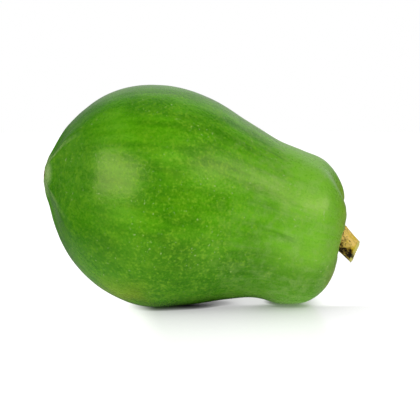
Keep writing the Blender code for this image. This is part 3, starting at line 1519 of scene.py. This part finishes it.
@dataclass
class Stalk:
    """The cut stalk, from its foot in the seat to the slanted cut."""

    column: Column = Column()
    grid: Grid = Grid(150, 120)
    bark: DryBark = DryBark()
    cut: CutFibre = CutFibre()
    cut_from: float = 0.02
    arc_points: int = 24

    def build(self) -> bpy.types.Object:
        """Lofts the column with its cut end, fits it to the solid's box and dresses it.

        Returns:
            The piece.
        """
        form = Form("stalk_form", self.grid, self.column, Span(*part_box("stalk")))
        tree = form.tree
        path = tree.value("GeometryNodeMeshToCurve", inputs={"Mesh": form["base"]})
        whole = tree.value("GeometryNodeCurveLength", inputs={"Curve": path})
        grid, share, turn = unrolled(form)
        foot, side = form["foot_share"], form["side_share"]
        closing = (share / foot).between(0.0, 1.0)
        travelled = ((share - foot) / (side - foot)).between(0.0, 1.0) * whole
        inward = ((share - side) / (1 - side)).between(0.0, 1.0)
        grid = tree.stored(grid, PLAN_ATTRIBUTE, tree.vector(travelled, turn, closing))
        grid = tree.stored(grid, SKIN_ATTRIBUTE, tree.vector(turn.cosine(), turn.sine(), travelled))
        grid = tree.stored(grid, CUT_ATTRIBUTE, inward, "FLOAT")
        resting = fitted(form, rolled(form, grid, self._ring(form, path)))
        piece = form.make("stalk_column", resting, self._axis(), self.bark.material())
        piece.data.materials.append(self.cut.material())
        self._dress_cut(piece.data)
        return settled(piece, "stalk")

    def _axis(self) -> bpy.types.Mesh:
        """The stalk's middle line, in the plane that it bends in.

        Returns:
            A mesh of edges, with X along the foot and Z up.
        """
        column = self.column
        angles = np.linspace(0.0, column.bend, self.arc_points)
        arc_x = column.foot + column.bend_radius * np.sin(angles)
        arc_z = -column.bend_radius * (1.0 - np.cos(angles))
        last_x = arc_x[-1] + column.end * math.cos(column.bend)
        last_z = arc_z[-1] - column.end * math.sin(column.bend)
        x = np.concatenate([[0.0], arc_x, [last_x]])
        z = np.concatenate([[0.0], arc_z, [last_z]])
        return line_mesh("stalk_axis", np.column_stack([x, 0.0 * x, z]))

    def _ring(self, form: Form, path: Value) -> Value:
        """Where each point of the grid goes.

        Args:
            form: The tree.
            path: The stalk's middle line.

        Returns:
            The place, tipped as the fruit lies.
        """
        tree, column = form.tree, self.column
        travelled, turn, closing = tree.split(tree.recalled(PLAN_ATTRIBUTE))
        inward = tree.recalled(CUT_ATTRIBUTE, "FLOAT")
        (centre_x, _, centre_z), (run, _, fall) = sampled(tree, path, travelled)
        sine, cosine = turn.sine(), turn.cosine()
        taper = travelled.step(form["taper_start"], form["taper_end"])
        rib = form["rib_depth"] * (0.5 + 0.5 * (form["ribs"] * turn).cosine())
        girth = form["fibre_girth"]
        lengthwise = tree.vector(cosine * girth, sine * girth, travelled * form["fibre_stretch"])
        fibre = tree.noise(lengthwise, column.fibre_size, form["seed"]) - 0.5
        bent = travelled.band(column.wrinkle_from, column.wrinkle_to, column.wrinkle_edge)
        inner = (0.0 - sine).step(0.0, 1.0)
        wrinkle = (travelled * form["wrinkle_turn"] + fibre * form["wrinkle_stray"]).sine() * bent * inner
        collar = travelled.band(column.flare_from, column.flare_to, column.flare_edge)
        swell = form["flare"] * collar + form["fibre"] * fibre + form["wrinkle"] * wrinkle
        core = 1 - inward
        thick = form["foot_radius"] + (form["end_radius"] - form["foot_radius"]) * taper
        radius = (thick - rib + swell) * closing * core
        across, up = -radius * cosine, radius * sine
        foot = form["foot"] + form["bend"] * form["bend_radius"]
        end = ((travelled - foot) / form["end"]).between(0.0, 1.0)
        face = tree.vector(across, up, 0.0)
        grain = tree.noise(face, column.cut_grain_size, form["seed"] + 1.0) - 0.5
        pith = (1 - core.step(form["pith_floor"], form["pith_rim"])) * form["pith_depth"]
        ring = core.band(column.ring_inner, column.ring_outer, column.ring_edge) * form["ring_rise"]
        fibres = ring + grain * form["cut_grain"] * inward.step(0.0, form["cut_grain_edge"])
        ahead = (form["cut_turn"] * across - form["cut_slant"] * up) * end - pith + fibres
        x = centre_x - up * fall + ahead * run
        z = centre_z + up * run + ahead * fall
        return tipped(form, x, across, z)

    def _dress_cut(self, mesh: bpy.types.Mesh) -> None:
        """Gives the faces of the cut end their own material.

        Args:
            mesh: The stalk's mesh, with the cut's material in its second slot.
        """
        inward = kept(mesh, CUT_ATTRIBUTE, 1)[:, 0]
        for face in mesh.polygons:
            if inward[list(face.vertices)].mean() > self.cut_from:
                face.material_index = 1


@dataclass(frozen=True)
class ScarSizes:
    """Sizes of the scar: a low corky dome with the traces of five petals."""

    reach: float = 0.0038
    dome: float = 0.00060
    sunk: float = 0.00045
    petals: int = 5
    notch: float = 0.20
    star: float = 0.00020
    cork: float = 0.00045
    cork_size: float = 0.0007
    top_share: float = 0.80
    hem: float = 0.2
    seed: float = 21.0


@dataclass(frozen=True)
class Facing:
    """Where the scar lies and which way it faces."""

    pole: Vector = field(default_factory=Vector)
    outward: Vector = field(default_factory=Vector)
    upward: Vector = field(default_factory=Vector)


@dataclass
class BlossomScar:
    """The dry scar of the flower, set in the pit at the tip."""

    sizes: ScarSizes = ScarSizes()
    grid: Grid = Grid(60, 90)
    finish: CorkScar = CorkScar()

    def build(self, fruit: bpy.types.Object, posture: Posture) -> bpy.types.Object:
        """Lofts the scar in the pit and dresses it.

        Args:
            fruit: The finished skin.
            posture: How the fruit lies.

        Returns:
            The piece.
        """
        form = Form("scar_form", self.grid, self.sizes, self._facing(fruit, posture))
        tree = form.tree
        grid, share, turn = unrolled(form)
        spread = (share / form["top_share"]).between(0.0, 1.0)
        under = ((share - form["top_share"]) / (1 - form["top_share"])).between(0.0, 1.0)
        petals = (form["petals"] * turn).cosine()
        outline = 1 - form["notch"] * (0.5 - 0.5 * petals) * spread
        radius = form["reach"] * outline * spread * (1 - under)
        aside, up = radius * turn.cosine(), -radius * turn.sine()
        cork = tree.noise(tree.vector(aside, up, 0.0), self.sizes.cork_size, form["seed"]) - 0.5
        relief = form["star"] * petals * (4.0 * spread * (1 - spread)) + form["cork"] * cork
        hem = under.step(0.0, form["hem"])
        height = form["dome"] * (1 - spread * spread) + relief * (1 - hem) - form["sunk"] * hem
        across = tree.vectors("CROSS_PRODUCT", form["outward"], form["upward"])
        place = tree.vectors("ADD", form["pole"], tree.scaled(form["outward"], height))
        place = tree.vectors("ADD", place, tree.scaled(form["upward"], up))
        place = tree.vectors("ADD", place, tree.scaled(across, aside))
        closed = rolled(form, grid, place)
        piece = form.make("blossom_scar", closed, bpy.data.meshes.new("scar_base"), self.finish.material())
        return settled(piece)

    def _facing(self, fruit: bpy.types.Object, posture: Posture) -> Facing:
        """The bottom of the pit, and the directions of the leaning sections there.

        Args:
            fruit: The finished skin.
            posture: How the fruit lies.

        Returns:
            The place and the directions.
        """
        travelled = kept(fruit.data, SKIN_ATTRIBUTE, 3)[:, 2]
        pole = fruit.data.vertices[int(travelled.argmin())].co.copy()
        lean = posture.section_lean + posture.tip_lean
        cosine, sine = math.cos(posture.tilt), math.sin(posture.tilt)
        upward = Vector((sine - lean * cosine, 0.0, cosine + lean * sine)).normalized()
        return Facing(pole, Vector((-upward.z, 0.0, upward.x)), upward)


@dataclass(frozen=True)
class BundleSizes:
    """Sizes of the dry ends of the bundles that ran through the stalk."""

    thickness: float = 0.00036
    least: float = 0.65
    most: float = 1.20
    pattern: int = 5


@dataclass
class Bundles:
    """The ring of dry bundle ends that stand out of the cut."""

    bundles: int = 26
    inward: float = 0.27
    ring_pull: float = 5.0
    sizes: BundleSizes = BundleSizes()
    finish: CutFibre = CutFibre(label="bundle_fibre", wood=srgb(236, 226, 178))

    def build(self, stalk: bpy.types.Object) -> bpy.types.Object:
        """Sets a small knob on the cut for each bundle.

        Args:
            stalk: The finished stalk.

        Returns:
            The piece.
        """
        form = Form("bundle_form", self.sizes)
        standing = knobs(form, form["base"], form["thickness"], 2)
        piece = form.make("stalk_bundles", standing, self._ends(stalk.data), self.finish.material())
        return settled(piece)

    def _ends(self, mesh: bpy.types.Mesh) -> bpy.types.Mesh:
        """The places of the bundle ends: the cut's points nearest to a ring with even steps.

        Args:
            mesh: The stalk's mesh.

        Returns:
            A mesh of these points alone.
        """
        inward = kept(mesh, CUT_ATTRIBUTE, 1)[:, 0]
        cosine, sine, _ = kept(mesh, SKIN_ATTRIBUTE, 3).T
        turns = np.arctan2(sine, cosine)
        places = []
        for step in range(self.bundles):
            off = np.abs(np.angle(np.exp(1j * (turns - math.tau * step / self.bundles))))
            nearest = int((off + self.ring_pull * np.abs(inward - self.inward)).argmin())
            places.append(mesh.vertices[nearest].co.to_tuple())
        ends = bpy.data.meshes.new("bundle_ends")
        ends.from_pydata(places, [], [])
        return ends


@dataclass(frozen=True)
class LenticelSizes:
    """Sizes of the breathing pores of the skin, and how many there are."""

    pore: float = 0.00034
    flat: float = 0.30
    least: float = 0.55
    most: float = 1.10
    apart: float = 0.006
    per_area: float = 1400.0
    steepest: float = 0.95
    clear_edge: float = 0.01
    lowest: float = 0.012
    lowest_full: float = 0.018
    pattern: int = 9


@dataclass
class Lenticels:
    """Scattered corky pores that hardly stand out of the skin."""

    sizes: LenticelSizes = LenticelSizes()
    finish: CorkScar = CorkScar("pore_cork", srgb(160, 194, 92), srgb(114, 162, 48), srgb(142, 182, 66))

    def build(self, fruit: bpy.types.Object) -> bpy.types.Object:
        """Scatters the pores over the skin, away from the floor and from where the fruit is widest.

        Args:
            fruit: The finished skin.

        Returns:
            The piece.
        """
        form = Form("lenticel_form", self.sizes)
        tree = form.tree
        x, y, z = (side.at_least(-side) for side in tree.split(tree.value("GeometryNodeInputNormal")))
        widest = x.at_least(y).at_least(z)
        _, _, height = tree.split(tree.value("GeometryNodeInputPosition"))
        clear = (form["steepest"] - widest).step(0.0, form["clear_edge"])
        free = clear * height.step(form["lowest"], form["lowest_full"])
        scatter = {"Mesh": form["base"], "Distance Min": form["apart"], "Density Max": form["per_area"]}
        scatter |= {"Density Factor": free, "Seed": form["pattern"]}
        points = tree.node("GeometryNodeDistributePointsOnFaces", {"distribute_method": "POISSON"}, scatter)
        places, turned = tree.output(points, "Points"), tree.output(points, "Rotation")
        scattered = knobs(form, places, form["pore"], 1, turned, form["flat"])
        piece = form.make("skin_lenticels", scattered, fruit.data, self.finish.material())
        return settled(piece)


@dataclass(frozen=True)
class SoftBox:
    """A rectangular studio light on the side of a circle round the fruit."""

    label: str
    azimuth: float
    elevation: float
    distance: float
    width: float
    height: float
    power: float
    mirrored: bool = True

    def place(self, aim: Vector) -> bpy.types.Object:
        """Puts the light in the scene.

        Args:
            aim: The point that it faces.

        Returns:
            The light.
        """
        data = bpy.data.lights.new(self.label, "AREA")
        data.shape = "RECTANGLE"
        data.size = self.width
        data.size_y = self.height
        data.energy = self.power
        light = bpy.data.objects.new(self.label, data)
        back = direction(self.azimuth, self.elevation)
        light.location = aim + back * self.distance
        light.rotation_euler = back.to_track_quat("Z", "Y").to_euler()
        light.visible_glossy = self.mirrored
        bpy.context.scene.collection.objects.link(light)
        return light


def direction(azimuth: float, elevation: float) -> Vector:
    """The direction from the fruit towards a place round it.

    Args:
        azimuth: Degrees from the near side, growing towards the stalk.
        elevation: Degrees above the horizon.

    Returns:
        A vector of length 1.
    """
    turn, rise = math.radians(azimuth), math.radians(elevation)
    return Vector((math.sin(turn) * math.cos(rise), -math.cos(turn) * math.cos(rise), math.sin(rise)))


@dataclass
class Studio:
    """A white floor in a dim room with a bright wall behind, two soft boxes and three plain fills.

    The fills light the fruit without showing in its gloss.
    """

    aim: Vector = field(default_factory=lambda: Vector(MIDDLE))
    boxes: tuple[SoftBox, ...] = (
        SoftBox("soft_box_left", -50.0, 20.0, 1.2, 1.02, 0.72, 9.0),
        SoftBox("soft_box_right", 56.0, 29.0, 1.2, 0.80, 0.46, 2.9),
        SoftBox("fill_front", 34.0, 40.0, 1.4, 1.60, 1.00, 10.4, mirrored=False),
        SoftBox("fill_left", -104.0, 14.0, 1.2, 1.00, 0.50, 2.7, mirrored=False),
        SoftBox("fill_above", 172.0, 62.0, 1.2, 1.00, 0.80, 3.6, mirrored=False),
    )
    floor_radius: float = 1.2
    floor_sides: int = 96
    wall: float = 0.62
    room: float = 0.05
    wall_place: tuple[float, float] = (168.0, 22.0)
    wall_edge: float = math.cos(math.radians(32.0))
    wall_core: float = math.cos(math.radians(15.0))
    floor_finish: WhiteFloor = WhiteFloor()

    def build(self) -> None:
        """Adds the floor, the lights and the surroundings."""
        self._floor()
        for box in self.boxes:
            box.place(self.aim)
        self._surroundings()
        bpy.context.scene.view_settings.view_transform = "Standard"

    def _floor(self) -> None:
        """A round white floor, level with the underside of the fruit."""
        turns = np.arange(self.floor_sides) * math.tau / self.floor_sides
        ring = np.column_stack([np.cos(turns), np.sin(turns), 0.0 * turns]) * self.floor_radius
        mesh = bpy.data.meshes.new("floor")
        mesh.from_pydata(ring.tolist(), [], [tuple(range(self.floor_sides))])
        mesh.materials.append(self.floor_finish.material())
        floor = bpy.data.objects.new("floor", mesh)
        bpy.context.scene.collection.objects.link(floor)

    def _surroundings(self) -> None:
        """A bright wall behind the fruit and a dim room in front, seen as plain white."""
        world = bpy.data.worlds.new("studio")
        world.use_nodes = True
        bpy.context.scene.world = world
        tree = Tree(world.node_tree)
        heading = tree.value("ShaderNodeTexCoord", output="Generated")
        facing = {0: heading, 1: direction(*self.wall_place)}
        behind = tree.value("ShaderNodeVectorMath", {"operation": "DOT_PRODUCT"}, facing, "Value")
        behind = behind.step(self.wall_edge, self.wall_core)
        light = self.room + (self.wall - self.room) * behind
        seen = tree.value("ShaderNodeLightPath", output="Is Camera Ray")
        background = world.node_tree.nodes["Background"]
        strength = light + (1.0 - light) * seen
        tree.connect(background, {"Strength": strength, "Color": (1.0, 1.0, 1.0, 1.0)})


@dataclass
class Viewpoint:
    """The camera, where the photograph was taken from."""

    target: Vector = field(default_factory=lambda: Vector(MIDDLE))
    azimuth: float = -5.5
    elevation: float = 7.0
    distance: float = 1.4
    pixels_per_metre: float = 1559.3
    image_side: float = 420.0
    target_pixel: tuple[float, float] = (195.5, 196.0)

    def build(self) -> bpy.types.Object:
        """Makes the scene's camera.

        Returns:
            The camera.
        """
        data = bpy.data.cameras.new("camera")
        data.lens = data.sensor_width * self.distance * self.pixels_per_metre / self.image_side
        camera = bpy.data.objects.new("camera", data)
        back = direction(self.azimuth, self.elevation)
        right = Vector((-back.y, back.x, 0.0)).normalized()
        up = back.cross(right)
        middle = 0.5 * self.image_side
        aside = right * (middle - self.target_pixel[0]) - up * (middle - self.target_pixel[1])
        aim = self.target + aside / self.pixels_per_metre
        camera.location = self.target + back * self.distance
        camera.rotation_euler = (camera.location - aim).to_track_quat("Z", "Y").to_euler()
        bpy.context.scene.collection.objects.link(camera)
        bpy.context.scene.camera = camera
        return camera


def report(piece: bpy.types.Object) -> None:
    """Says what a piece is made of."""
    triangles = sum(len(face.vertices) - 2 for face in piece.data.polygons)
    LOG.info("%s: %d triangles, %s", piece.name, triangles, [round(side, 4) for side in piece.dimensions])


def main() -> None:
    """Builds the fruit, the stalk and the studio."""
    logging.basicConfig(level=logging.INFO)
    Viewpoint().build()
    Studio().build()
    skin = FruitSkin()
    fruit = skin.build()
    report(fruit)
    report(BlossomScar().build(fruit, skin.posture))
    report(Lenticels().build(fruit))
    stalk = Stalk().build()
    report(stalk)
    report(Bundles().build(stalk))


if __name__ == "__main__":
    main()
